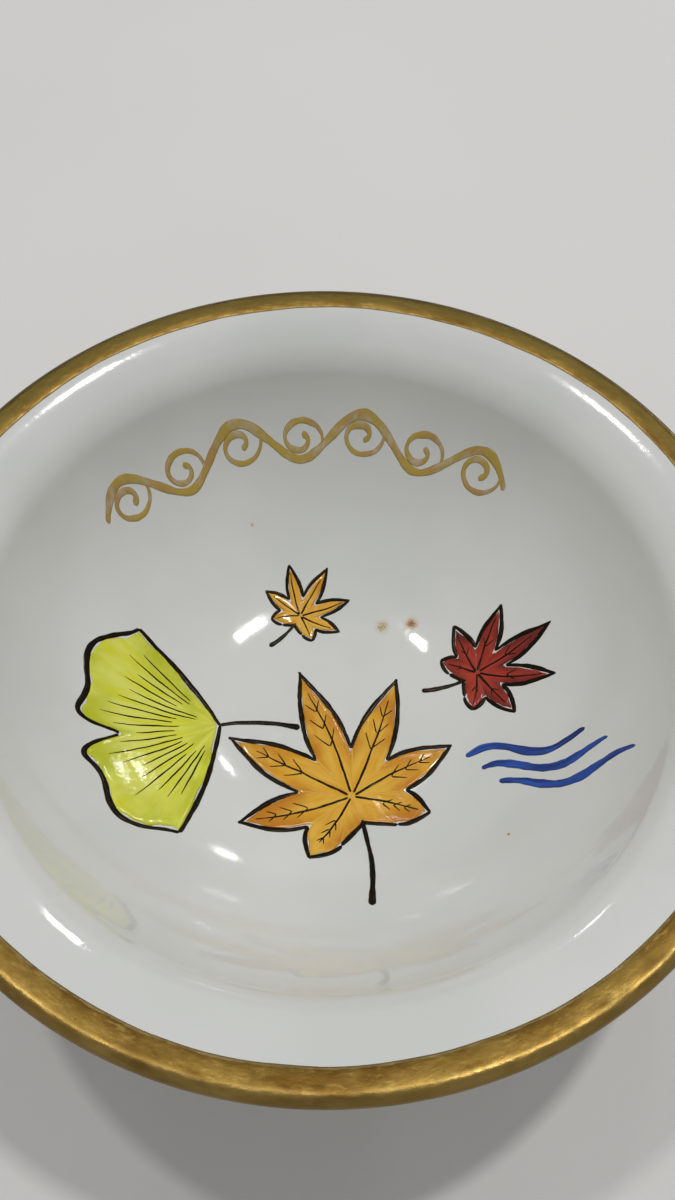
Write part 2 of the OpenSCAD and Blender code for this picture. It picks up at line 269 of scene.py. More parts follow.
def arc(centre, radius, start, stop):
    """Points of a circle's arc between two angles in degrees."""
    a = np.radians(np.linspace(start, stop, ARC_STEPS))
    return np.asarray(centre) + radius * towards(a)


def under_height(r, depth):
    """Height of the bowl's underside at a radius, a depth in from its finished face."""
    line = beside(S_T - depth)
    return np.interp(r, line[:, 0], line[:, 1])


# The clay foot's faces
RING_OUT = FOOT_D / 2 - GLAZE_T
RING_IN = FOOT_D / 2 - FOOT_W + GLAZE_T
RING_TOP = float(under_height(RING_OUT, GLAZE_T))


def foot_face(z):
    """Radius of the clay foot's outside at a height: it draws in evenly to the edge."""
    return RING_OUT - FOOT_DRAW_IN * (RING_TOP - z) / (RING_TOP - FOOT_ROUND)


# Finishes

def feed(tree, socket, value):
    """Join an output to a socket, or set the socket to a constant."""
    if isinstance(value, bpy.types.NodeSocket):
        tree.links.new(value, socket)
    elif socket.type == "RGBA":
        socket.default_value = (*value, 1.0)
    else:
        socket.default_value = value


def new_node(tree, kind, inputs, **settings):
    """A node with its settings made and its inputs fed."""
    made = tree.nodes.new(kind)
    for key, value in settings.items():
        setattr(made, key, value)
    for key, value in inputs.items():
        feed(tree, made.inputs[key], value)
    return made


class Finish:
    """A procedural finish: one Principled surface, and short calls for the nodes that feed it."""

    def __init__(self, name, **sockets):
        self.material = bpy.data.materials.new(name)
        self.material.use_nodes = True
        self.tree = self.material.node_tree
        self.surface = next(n for n in self.tree.nodes if n.type == "BSDF_PRINCIPLED")
        for socket, value in sockets.items():
            self.surface.inputs[socket.replace("_", " ")].default_value = value
        self.place = self.tree.nodes.new("ShaderNodeTexCoord").outputs["Object"]

    def node(self, kind, inputs, **settings):
        return new_node(self.tree, kind, inputs, **settings)

    def noise(self, scale, detail, rough=0.5, vector=None):
        """Cloudy noise, its scale in waves to a metre of the place or to a millimetre of a mark."""
        inputs = {"Vector": vector or self.place, "Scale": scale, "Detail": detail, "Roughness": rough}
        return self.node("ShaderNodeTexNoise", inputs).outputs["Fac"]

    def mark(self, name, output="Fac"):
        return self.node("ShaderNodeAttribute", {}, attribute_name=name).outputs[output]

    def span(self, value, low, high, to_low=0.0, to_high=1.0):
        """A smooth step from to_low to to_high as the value goes from low to high."""
        inputs = {"Value": value, "From Min": low, "From Max": high, "To Min": to_low, "To Max": to_high}
        return self.node("ShaderNodeMapRange", inputs, interpolation_type="SMOOTHSTEP").outputs["Result"]

    def mix(self, share, a, b):
        return self.node("ShaderNodeMix", {0: share, 6: a, 7: b}, data_type="RGBA").outputs[2]

    def times(self, a, b):
        return self.node("ShaderNodeMath", {0: a, 1: b}, operation="MULTIPLY").outputs[0]

    def plus(self, a, b):
        return self.node("ShaderNodeMath", {0: a, 1: b}, operation="ADD").outputs[0]

    def stretch(self, vector, by):
        return self.node("ShaderNodeVectorMath", {0: vector, 1: by}, operation="MULTIPLY").outputs[0]

    def shift(self, vector, by):
        return self.node("ShaderNodeVectorMath", {0: vector, 1: by}, operation="ADD").outputs[0]

    def spot(self, at, radius, soft):
        """One inside a radius and nought outside, with a soft, slightly ragged edge."""
        ragged = self.node("ShaderNodeTexNoise", {"Vector": self.place, "Scale": SPOT_GRAIN, "Detail": 2.0})
        moved = self.shift(self.place, self.stretch(ragged.outputs["Color"], (radius, radius, radius)))
        centre = tuple(c + radius / 2 for c in at)
        away = self.node("ShaderNodeVectorMath", {0: moved, 1: centre}, operation="DISTANCE")
        return self.span(away.outputs["Value"], radius - soft, radius + soft, 1.0, 0.0)

    def bump(self, height, distance):
        """Relief from a height, where one stands for the distance in metres."""
        made = self.node("ShaderNodeBump", {"Height": height, "Distance": distance, "Strength": 1.0})
        feed(self.tree, self.surface.inputs["Normal"], made.outputs["Normal"])

    def colour(self, value):
        feed(self.tree, self.surface.inputs["Base Color"], value)

    def roughness(self, value):
        feed(self.tree, self.surface.inputs["Roughness"], value)


# Tones of the glaze, the iron in it and the bare clay
GLAZE_WHITE = (0.675, 0.68, 0.655)
GLAZE_COOL = (0.62, 0.632, 0.605)
IRON = (0.28, 0.10, 0.003)
IRON_HALO = (0.52, 0.40, 0.12)
CLAY = (0.66, 0.62, 0.54)
CLAY_CLOUD = (0.58, 0.52, 0.43)
CLAY_GRAIN = (0.42, 0.36, 0.28)

# Tones of the gilding and of the brushed gold
GILT = (0.152, 0.095, 0.022)
GILT_BROWN = (0.088, 0.046, 0.009)
GILT_RUBBED = (0.25, 0.165, 0.047)
GILT_PIT = (0.075, 0.046, 0.011)
GILT_OUTSIDE = (0.235, 0.15, 0.037)
# Painted highlight: a paler gold along the lip's crest, standing in for the lamps' reflection line there
GILT_CREST_HIGHLIGHT = (0.30, 0.207, 0.067)
# Painted shade: a darker olive gold over the band's top on the far side of the cup
GILT_FAR_SHADE = (0.078, 0.058, 0.015)
GILT_WORN = (0.36, 0.27, 0.12)
GOLD_FULL = (0.43, 0.30, 0.05)
GOLD_BROWN = (0.40, 0.235, 0.075)
GOLD_DRY = (0.48, 0.395, 0.25)
GOLD_SIDE = (0.25, 0.16, 0.03)

# Tones of the drawing and of its reflections
INK_THIN = (0.042, 0.022, 0.008)
INK_FULL = (0.006, 0.0042, 0.002)
INK_SHEEN = (1.0, 0.82, 0.55, 1.0)

# The enamels: thin, full and pooled tones, and a shift that sets their brushing apart
ENAMELS = {
    "ochre_enamel": ((0.74, 0.43, 0.055), (0.68, 0.33, 0.016), (0.50, 0.18, 0.006), 3.0),
    "yellow_enamel": ((0.70, 0.71, 0.13), (0.65, 0.65, 0.03), (0.48, 0.51, 0.018), 11.0),
    "red_enamel": ((0.40, 0.040, 0.018), (0.29, 0.018, 0.008), (0.12, 0.008, 0.005), 17.0),
    "blue_enamel": ((0.022, 0.085, 0.40), (0.008, 0.025, 0.16), (0.004, 0.008, 0.035), 23.0),
}

# Iron specks in the glaze: plan place, radius, and how strongly each has burst
IRON_SPECKS = [(10.4, 10.8, 0.58, 1.0), (6.8, 10.7, 0.55, 0.52), (-9.8, 22.4, 0.15, 0.7),
               (19.2, -17.5, 0.14, 0.7), (-24.5, 2.0, 0.12, 0.7)]

# A speck's grain and soft edge, and its halo's reach, softness and strength
SPOT_GRAIN = 1400.0
SPECK_SOFT = 0.6
HALO_REACH, HALO_SOFT, HALO_SHARE = 1.3, 1.1, 0.55


def glaze_finish(name, specks):
    """Clear gloss over white porcelain: slow cool drifts, faint orange peel, and iron specks."""
    f = Finish(name, IOR=1.52)
    drift = f.span(f.noise(45.0, 3.0), 0.35, 0.7)
    colour = f.mix(drift, GLAZE_WHITE, GLAZE_COOL)
    grain = f.noise(4200.0, 3.0, 0.6)
    for x, y, radius, burst in specks:
        place = tuple(float(c) for c in on_inside(np.array(x), np.array(y)) * MM)
        halo = f.spot(place, HALO_REACH * radius * MM, HALO_SOFT * radius * MM)
        colour = f.mix(f.times(halo, HALO_SHARE), colour, IRON_HALO)
        rust = f.span(grain, 0.54 - 0.2 * burst, 0.68 - 0.2 * burst, 0.0, 0.35 + 0.65 * burst)
        grains = f.times(f.spot(place, radius * MM, SPECK_SOFT * radius * MM), rust)
        colour = f.mix(grains, colour, IRON)
    f.colour(colour)
    f.roughness(f.span(f.noise(90.0, 2.0), 0.3, 0.75, 0.05, 0.11))
    f.bump(f.noise(420.0, 3.0), 0.018 * MM)
    return f.material


def biscuit_finish():
    """Bare fired porcelain: warm white, clouded and dry, with fine darker grains."""
    f = Finish("bare_porcelain", Roughness=0.85)
    grains = f.span(f.noise(2600.0, 2.0), 0.55, 0.72)
    cloud = f.span(f.noise(160.0, 3.0), 0.35, 0.7)
    f.colour(f.mix(grains, f.mix(cloud, CLAY, CLAY_CLOUD), CLAY_GRAIN))
    f.bump(f.noise(1800.0, 3.0), 0.04 * MM)
    return f.material


def gilding_finish():
    """Old brushed-on gold: brown patches and dark pits in a satin film, rubbed paler here and there, lighter
    outside, smoother on the crest with a painted highlight of paler gold along it, a painted shade of darker
    olive over the band's top on the far side, and a thin worn fringe at both edges."""
    f = Finish("old_gilding", Metallic=1.0)
    band, over, edge = f.mark("band", "Vector"), f.mark("over"), f.mark("edge")
    patches = f.span(f.noise(0.34, 4.0, 0.6, band), 0.36, 0.66)
    gold = f.mix(patches, GILT, GILT_BROWN)
    rubbed = f.span(f.noise(1.1, 5.0, 0.65, f.stretch(band, (1.0, 1.0, 1.6))), 0.52, 0.8)
    gold = f.mix(rubbed, gold, GILT_RUBBED)
    pits = f.span(f.noise(4.5, 3.0, 0.6, band), 0.6, 0.74)
    gold = f.mix(f.times(pits, 0.6), gold, GILT_PIT)
    outside = f.span(f.plus(over, f.times(f.noise(0.8, 3.0, 0.5, band), 0.3)), 0.5, 0.85)
    gold = f.mix(outside, gold, GILT_OUTSIDE)
    # The crest: smoother, and given a painted highlight of paler gold that noise breaks up
    crest = f.times(f.span(over, 0.27, 0.37), f.span(over, 0.46, 0.6, 1.0, 0.0))
    crest = f.times(crest, f.span(f.noise(0.5, 3.0, 0.5, band), 0.35, 0.65, 0.3, 1.0))
    gold = f.mix(f.times(crest, 0.6), gold, GILT_CREST_HIGHLIGHT)
    # Painted shade: over the band's inside and top, the far side turns darker olive, which also dims the
    # painted crest highlight there
    ragged = f.plus(over, f.times(f.noise(1.6, 4.0, 0.6, band), -0.16))
    top = f.times(f.span(ragged, 0.0, 0.1, 0.0, 0.8), f.span(over, 0.62, 0.8, 1.0, 0.0))
    far_side_shade = f.span(f.node("ShaderNodeSeparateXYZ", {0: f.place}).outputs["Y"], -6 * MM, 30 * MM)
    gold = f.mix(f.times(far_side_shade, top), gold, GILT_FAR_SHADE)
    worn = f.plus(edge, f.times(f.noise(1.3, 3.0, 0.6, band), -0.35))
    f.colour(f.mix(f.span(worn, -0.16, 0.12, 1.0, 0.0), gold, GILT_WORN))
    dull = f.span(f.noise(1.0, 4.0, 0.6, band), 0.3, 0.75, 0.36, 0.54)
    f.roughness(f.plus(dull, f.times(crest, -0.16)))
    f.bump(f.noise(2.2, 3.0, 0.5, band), 0.03 * MM)
    return f.material


def enamel_finish(name):
    """Raised enamel: brushed streaks of thin and full colour, pooled darker towards an edge."""
    thin, full, pooled, shift = ENAMELS[name]
    f = Finish(name, IOR=1.55, Specular_IOR_Level=0.25)
    brush = f.shift(f.mark("brush", "Vector"), (shift, shift, shift))
    streak = f.span(f.noise(1.0, 3.0, 0.55, f.stretch(brush, (0.16, 1.1, 1.0))), 0.36, 0.68)
    wash = f.span(f.noise(0.22, 3.0, 0.5, brush), 0.36, 0.66)
    pool = f.times(wash, f.span(f.mark("edge"), 0.35, 0.95))
    f.colour(f.mix(pool, f.mix(streak, thin, full), pooled))
    f.roughness(f.span(streak, 0.0, 1.0, 0.08, 0.16))
    f.bump(f.noise(1.6, 2.0, 0.5, brush), 0.02 * MM)
    return f.material


def ink_finish():
    """Brown-black drawing: near black where the brush was full, warm brown where it ran thin."""
    f = Finish("drawing_black", IOR=1.42, Specular_IOR_Level=0.15, Specular_Tint=INK_SHEEN)
    load = f.plus(f.mark("load"), f.times(f.noise(900.0, 3.0), 0.5))
    f.colour(f.mix(f.span(load, 0.35, 0.85), INK_THIN, INK_FULL))
    f.roughness(f.span(f.noise(700.0, 2.0), 0.3, 0.7, 0.14, 0.34))
    f.bump(f.noise(1500.0, 2.0), 0.02 * MM)
    return f.material


def gold_paint_finish():
    """Thin brushed gold: olive ochre, browner in patches, grey beige where dry, darker at its sides."""
    f = Finish("brushed_gold", Metallic=0.3)
    brush = f.mark("brush", "Vector")
    dry = f.span(f.noise(0.42, 4.0, 0.6, f.stretch(brush, (1.0, 1.6, 1.0))), 0.46, 0.68)
    brown = f.span(f.noise(0.21, 2.0, 0.5, brush), 0.42, 0.64)
    colour = f.mix(dry, f.mix(brown, GOLD_FULL, GOLD_BROWN), GOLD_DRY)
    sides = f.times(f.span(f.mark("edge"), 0.6, 1.0), 0.45)
    f.colour(f.mix(sides, colour, GOLD_SIDE))
    f.roughness(f.span(dry, 0.0, 1.0, 0.3, 0.46))
    f.bump(f.noise(2.6, 3.0, 0.5, f.stretch(brush, (0.5, 2.0, 1.0))), 0.03 * MM)
    return f.material


# Glazes, clay foot and gilding

# Shares of the half circle over the lip where the glazes start, meet and end
NOSE_START, NOSE_TOP, NOSE_END = 0.08, 0.5, 0.95

# The pool above the foot: its drop in radii and its curve's bend; the room between stretches of a profile
POOL_DROP, POOL_UP, POOL_DOWN = 1.15, 0.5, 0.15
CLEAR = 0.1

# The gilt film: rise, depth, width where it thins out, path's reach, grain's radius
FILM_T, FILM_SUNK, FILM_FADE = 0.035, 0.04, 0.45
GILT_REACH = 4.0
GRAIN_R = 20.0


def glazed(name, shell, specks=()):
    """One coat of glaze."""
    piece(name, [shell], glaze_finish(name, specks))


def inside_glaze():
    """The poured glaze: the inside profile with the glaze's waves, over the lip's edge, and back below."""
    x, y = S_R[1:, None] * np.cos(TURN), S_R[1:, None] * np.sin(TURN)
    rings = np.concatenate([
        on_inside(x, y),
        revolved(lip_nose(0, NOSE_START, NOSE_TOP)),
        revolved(lip_nose(GLAZE_T, NOSE_TOP, NOSE_START)),
        revolved(beside(GLAZE_T)[:0:-2]),
    ])
    top = on_inside(np.zeros(1), np.zeros(1))[0]
    glazed("inside_glaze", skin(rings, top, (0, 0, FLOOR_Z - GLAZE_T)), IRON_SPECKS)


def outside_glaze():
    """The dipped glaze: from the lip's edge down the outside, pooled above the foot, down it to a round bead
    at the wiped line, and back along the clay."""
    face, clay = beside(S_T)[::-1], beside(S_T - GLAZE_T)
    corner_r = FOOT_D / 2 + POOL_R
    corner_z = float(under_height(corner_r, 0))
    low_z = corner_z - POOL_R * POOL_DROP
    top = np.array([corner_r, corner_z])
    knee = np.array([foot_face(low_z + POOL_UP) + GLAZE_T, corner_z - POOL_DOWN])
    low = np.array([foot_face(low_z) + GLAZE_T, low_z])
    t = np.linspace(0, 1, 9)[:, None]
    skirt_z = np.linspace(low_z, BARE_H + GLAZE_T, 8)[1:]
    bead_z = BARE_H + GLAZE_T / 2
    inner_z = np.linspace(BARE_H + GLAZE_T, RING_TOP, 6)
    profile = np.concatenate([
        lip_nose(0, NOSE_TOP, NOSE_END),
        face[face[:, 0] > corner_r + CLEAR],
        (1 - t) ** 2 * top + 2 * t * (1 - t) * knee + t ** 2 * low,
        np.stack([foot_face(skirt_z) + GLAZE_T, skirt_z], -1),
        arc((foot_face(bead_z) + GLAZE_T / 2, bead_z), GLAZE_T / 2, 0, -180),
        np.stack([foot_face(inner_z), inner_z], -1),
        clay[clay[:, 0] > RING_OUT + CLEAR][::2],
        lip_nose(GLAZE_T, NOSE_END, NOSE_TOP),
    ])
    glazed("outside_glaze", skin(revolved(profile)))


def foot_well_glaze():
    """The glaze in the foot: the underside, a hollow corner, the ring's inside, a bead, and back."""
    face, clay = beside(S_T)[1:], beside(S_T - GLAZE_T)[:0:-1]
    level_r = RING_IN - GLAZE_T - WELL_BEND_R
    corner_z = float(under_height(level_r, 0)) - WELL_BEND_R
    profile = np.concatenate([
        face[face[:, 0] < level_r - CLEAR],
        arc((level_r, corner_z), WELL_BEND_R, 90, 0),
        arc((RING_IN - GLAZE_T / 2, BARE_H + GLAZE_T / 2), GLAZE_T / 2, 180, 360),
        [[RING_IN, corner_z], [RING_IN, float(under_height(RING_IN, GLAZE_T))]],
        clay[clay[:, 0] < RING_IN - CLEAR],
    ])
    poles = (0, 0, FOOT_RECESS), (0, 0, FOOT_RECESS + GLAZE_T)
    glazed("foot_well_glaze", skin(revolved(profile), *poles))


def foot_ring():
    """The clay ring: drawn in to a rounded resting edge, straight inside, seated under the bowl."""
    r = FOOT_ROUND
    outer_z = np.linspace(RING_TOP, r, 10)[:-1]
    inner_z = np.linspace(r, under_height(RING_IN, GLAZE_T), 7)[1:-1]
    seat_r = np.linspace(RING_IN, RING_OUT, 8)[:-1]
    profile = np.concatenate([
        np.stack([foot_face(outer_z), outer_z], -1),
        arc((RING_OUT - FOOT_DRAW_IN - r, r), r, 0, -90),
        arc((RING_IN + r, r), r, -90, -180),
        np.stack([np.full(len(inner_z), RING_IN), inner_z], -1),
        np.stack([seat_r, under_height(seat_r, GLAZE_T)], -1),
    ])
    piece("foot_ring", [skin(revolved(profile))], biscuit_finish())


def lip_gilding():
    """The gilt band: a path over the lip between two uneven edges, carried round the rim, with a film whose
    thickness dies out at both."""
    inner, outer = beside(0), beside(S_T)[::-1]
    inner = inner[inner[:, 0] > EDGE_R - GILT_REACH]
    outer = outer[outer[:, 0] > EDGE_R - GILT_REACH]
    path = np.concatenate([inner, lip_nose(0, 0.06, 0.94, 24), outer])
    length = np.concatenate([[0], np.cumsum(np.hypot(*np.diff(path, axis=0).T))])
    crest = length[len(inner) - 1]
    heading = np.gradient(path, length, axis=0)
    heading /= np.linalg.norm(heading, axis=1)[:, None]
    ragged = ripple(TURN * 4, 0.07, 5) + ripple(TURN * 21, 0.025, 6)
    # It dies out where the turn starts and ends, so that the band meets itself
    ragged = ragged * np.clip(np.minimum(TURN, 2 * np.pi - TURN) * 12, 0, 1)
    start = crest - GILT_W + ragged
    stop = crest + math.pi * LIP_T / 2 + GILT_OUT_W + 0.8 * ragged
    share = np.linspace(0, 1, GILT_ROWS)[:, None]
    s = start + (stop - start) * share
    r, z = np.interp(s, length, path[:, 0]), np.interp(s, length, path[:, 1])
    out_r, out_z = -np.interp(s, length, heading[:, 1]), np.interp(s, length, heading[:, 0])
    edge = np.minimum(s - start, stop - s)
    lift = FILM_T * np.sin(np.clip(edge / FILM_FADE, 0, 1) * np.pi / 2)
    front = turned_round(r + lift * out_r, z + lift * out_z)
    back = turned_round(r - FILM_SUNK * out_r, z - FILM_SUNK * out_z)
    rings = np.concatenate([front, back[::-1]])
    band = turned_round(np.full(s.shape, GRAIN_R), s)
    marks = {"edge": [there_and_back(edge).ravel()],
             "over": [there_and_back(np.broadcast_to(share, s.shape)).ravel()],
             "band": [there_and_back(band).reshape(-1, 3)]}
    piece("lip_gilding", [skin(rings)], gilding_finish(), marks)


# Leaves in raised enamel

# The maple leaf: its lobes' bearings and half angle, and lengths in shares of the leaf
LOBE_TURN = np.radians([-126, -84, -42, 0, 42, 84, 126])
LOBE_REACH = np.array([0.52, 0.76, 0.93, 1.0, 0.93, 0.76, 0.52])
LOBE_HALF = math.radians(21)
LOBE_NOTCH = 0.36
LOBE_SWELL = 0.05
MAPLE_HEEL = 0.2
MIDDLE_LOBE = 3
HEEL_NOTCH = towards(LOBE_TURN[-1] + LOBE_HALF)

# The ginkgo leaf: angles of its fan, and lengths in shares of the leaf
FAN_HALF = math.radians(62)
CLEFT_DEPTH, CLEFT_HALF = 0.3, math.radians(6)
FAN_WAVE, FAN_PITCH = 0.05, math.radians(41)
FAN_BOW = 0.035
FAN_CENTRE = 0.45

# The enamel: thickness, depth, sharpness of its shoulder, unevenness, room to the drawn line
ENAMEL_T, ENAMEL_SUNK = 0.15, 0.05
ENAMEL_SHOULDER = 7
ENAMEL_POOLING, ENAMEL_RAGGED = 0.2, 0.22
ENAMEL_INSET = 0.2

# Brushing: how far apart two lobes take theirs, and the width to a radian of the fan
LOBE_APART = 7.3
FAN_BRUSH = 9

# The drawing: width and height of a line, height of a vein, and how far a vein is sunk
LINE_W, LINE_H = 0.6, 0.11
VEIN_H, VEIN_SUNK = 0.065, 0.008


class Leaf(NamedTuple):
    """A leaf: heart's place in plan, tip's bearing in degrees, reach, stalk's length, lines' width, pairs of
    side veins to a lobe, and seeds of the enamel and the lines."""
    heart: tuple
    bearing: float
    size: float
    stalk: float
    line_w: float
    side_veins: int
    field_seed: int
    line_seed: int

    def plan(self, points):
        """Points about the leaf's heart, laid out in the cup's plan."""
        return np.array(self.heart) + turned_by(points, math.radians(self.bearing))


MAPLE = Leaf((3, -11.5), 112, 17, 12, LINE_W, 3, 31, 1000)
RED_MAPLE = Leaf((18, 3.5), 27, 9, 6, LINE_W * 0.9, 1, 34, 2000)
SMALL_MAPLE = Leaf((-3.5, 12), 62, 7, 5, LINE_W * 0.8, 0, 32, 3000)
GINKGO = Leaf((-12.5, -3), 196, 16, 9, LINE_W, 0, 33, 4000)


def lobe_side(reach, inset, count):
    """Half a lobe from the notch to the tip: distance along its axis and half width, in shares of the leaf.
    The width falls from the notch's to nothing, swells a little on the way, and loses the inset."""
    t = np.linspace(0, 1, FINE)
    width = LOBE_NOTCH * math.sin(LOBE_HALF) * (1 - t) ** 0.9 \
        + LOBE_SWELL * reach * np.sin(np.pi * t) * (1 - t) ** 0.3
    end = t[np.nonzero(width >= inset)[0][-1]]
    u = end * np.linspace(0, 1, count)
    low = LOBE_NOTCH * math.cos(LOBE_HALF)
    along = low + (reach - low) * u - inset * (1 - u)
    return along, np.interp(u, t, width) - inset


def maple_edge(size, inset):
    """Outline of a maple leaf about its heart, with each point's lobe; the heel is the middle one's."""
    points, lobe = [], []
    for j, (turn, reach) in enumerate(zip(LOBE_TURN, LOBE_REACH)):
        along, width = lobe_side(reach, inset / size, LOBE_POINTS)
        side = np.stack([along, -width], -1)
        other = np.stack([along, width], -1)[::-1][1:-1]
        points.append(turned_by(np.concatenate([side, other]), turn))
        lobe.append(np.full(2 * LOBE_POINTS - 2, j))
    t = np.linspace(0, 1, HEEL_POINTS)[:, None]
    notch = (LOBE_NOTCH - inset / size) * HEEL_NOTCH
    heel = np.array([-MAPLE_HEEL + inset / size, 0])
    points += [notch + (heel - notch) * t, (heel + (notch * [1, -1] - heel) * t)[1:-1]]
    lobe.append(np.full(2 * HEEL_POINTS - 2, MIDDLE_LOBE))
    return np.concatenate(points) * size, np.concatenate(lobe)


def fan_reach(a):
    """Reach of the ginkgo's edge at an angle from its cleft: full, less the cleft and a gentle wave."""
    cleft = CLEFT_DEPTH * np.exp(-(a / CLEFT_HALF) ** 2)
    return 1 - cleft - FAN_WAVE * (1 - np.cos(a * 2 * np.pi / FAN_PITCH))


def fan_centre(size):
    """The middle of a ginkgo leaf."""
    return np.array([FAN_CENTRE * size, 0])


def ginkgo_edge(size, inset):
    """Outline of a ginkgo leaf about its stalk: the waved, cleft edge, then two bowed sides."""
    a = np.linspace(-FAN_HALF, FAN_HALF, FAN_RIM)
    rim = fan_reach(a)[:, None] * towards(a)
    t = np.linspace(0, 1, FAN_SIDE + 2)[1:-1, None]
    bow = FAN_BOW * np.sin(np.pi * t) * np.array([math.sin(FAN_HALF), math.cos(FAN_HALF)])
    down = rim[-1] * (1 - t) - bow * [1, -1]
    rise = rim[0] * t - bow * [1, 1]
    points = np.concatenate([rim, down, [[0.0, 0.0]], rise]) * size
    centre = fan_centre(size)
    out = points - centre
    return centre + out * (1 - inset / np.linalg.norm(out, axis=1))[:, None]


def enamel_height(share):
    """Thickness of an enamel at a share of the way to its edge: level, then rounded down."""
    return ENAMEL_T * np.sqrt(np.clip(1 - share ** ENAMEL_SHOULDER, 0, 1))


def pooling(x, y, seed):
    """How the enamel gathered: shares of its usual thickness, in slow waves over the plan."""
    return 1 + ENAMEL_POOLING * ripple(0.8 * x + 0.5 * y, 1.0, seed)


def uneven_outline(edge, centre, seed):
    """An enamel's outline as steps from its middle, with lengths made uneven by the hand."""
    t = np.linspace(0, 2 * np.pi, len(edge), endpoint=False)
    out = edge - centre
    reach = np.linalg.norm(out, axis=1)
    return out * (1 + ripple(t * 9, ENAMEL_RAGGED, seed) / np.maximum(reach, 3))[:, None]


def share_of_way(out, flat):
    """How far points lie on the way from an enamel's middle to its outline, as a share."""
    bearing, reach = np.arctan2(out[:, 1], out[:, 0]), np.hypot(out[:, 0], out[:, 1])
    edge = np.interp(np.arctan2(flat[:, 1], flat[:, 0]), bearing, reach, period=2 * np.pi)
    return np.hypot(flat[:, 0], flat[:, 1]) / edge


def enamel_field(leaf, edge, centre, brushing):
    """A field of enamel: rings from the leaf's middle to its uneven outline, crowned above and sunk below.
    Returns the shell, and for each point its share of the way to the outline and its brushing."""
    out = uneven_outline(edge, centre, leaf.field_seed)
    share = (np.arange(1, FIELD_RINGS + 1) / FIELD_RINGS)[:, None]
    flat = centre + share[..., None] * out
    plan = leaf.plan(flat.reshape(-1, 2)).reshape(flat.shape)
    x, y = plan[..., 0], plan[..., 1]
    top = on_inside(x, y, enamel_height(share) * pooling(x, y, leaf.field_seed))
    base = on_inside(x, y, -ENAMEL_SUNK)
    heart_x, heart_y = leaf.plan(centre[None])[0]
    middle = ENAMEL_T * pooling(heart_x, heart_y, leaf.field_seed)
    poles = [on_inside(heart_x, heart_y, lift) for lift in (middle, -ENAMEL_SUNK)]
    way = np.broadcast_to(share, x.shape)
    way = np.concatenate([way[:-1].ravel(), way[::-1].ravel(), [0, 0]])
    brush = brushing(flat)
    brush = np.concatenate([brush[:-1].reshape(-1, 3), brush[::-1].reshape(-1, 3), np.zeros((2, 3))])
    return skin(np.concatenate([top[:-1], base[::-1]]), *poles), way, brush


def maple_field(leaf):
    """A maple leaf's enamel, brushed out along each lobe."""
    edge, lobe = maple_edge(leaf.size, ENAMEL_INSET)

    def along_lobes(flat):
        c, s = np.cos(LOBE_TURN[lobe]), np.sin(LOBE_TURN[lobe])
        along = flat[..., 0] * c + flat[..., 1] * s
        across = flat[..., 1] * c - flat[..., 0] * s
        return np.stack([along, across, np.broadcast_to(lobe * LOBE_APART, along.shape)], -1)

    return enamel_field(leaf, edge, np.zeros(2), along_lobes)


def ginkgo_field(leaf):
    """A ginkgo leaf's enamel, brushed out from the stalk."""
    edge = ginkgo_edge(leaf.size, ENAMEL_INSET)

    def from_stalk(flat):
        a = np.arctan2(flat[..., 1], flat[..., 0])
        return np.stack([np.hypot(flat[..., 0], flat[..., 1]), FAN_BRUSH * a, np.zeros(a.shape)], -1)

    return enamel_field(leaf, edge, fan_centre(leaf.size), from_stalk)


# Brush strokes

# A stroke's ring in shares of its half width and height: seven points over the crown and two below
CROWN_ACROSS = np.array([-1, -0.86, -0.5, 0, 0.5, 0.86, 1])
STROKE_ACROSS = np.concatenate([CROWN_ACROSS, [0.6, -0.6]])
STROKE_CROWN = np.concatenate([np.sqrt(1 - CROWN_ACROSS ** 2), [-1, -1]])

# A stroke's base, the crowding of its rows, and the least it narrows and thins to
STROKE_SUNK = 0.06
CROWDING = 0.35
STROKE_END, STROKE_LOW = 0.02, 0.3


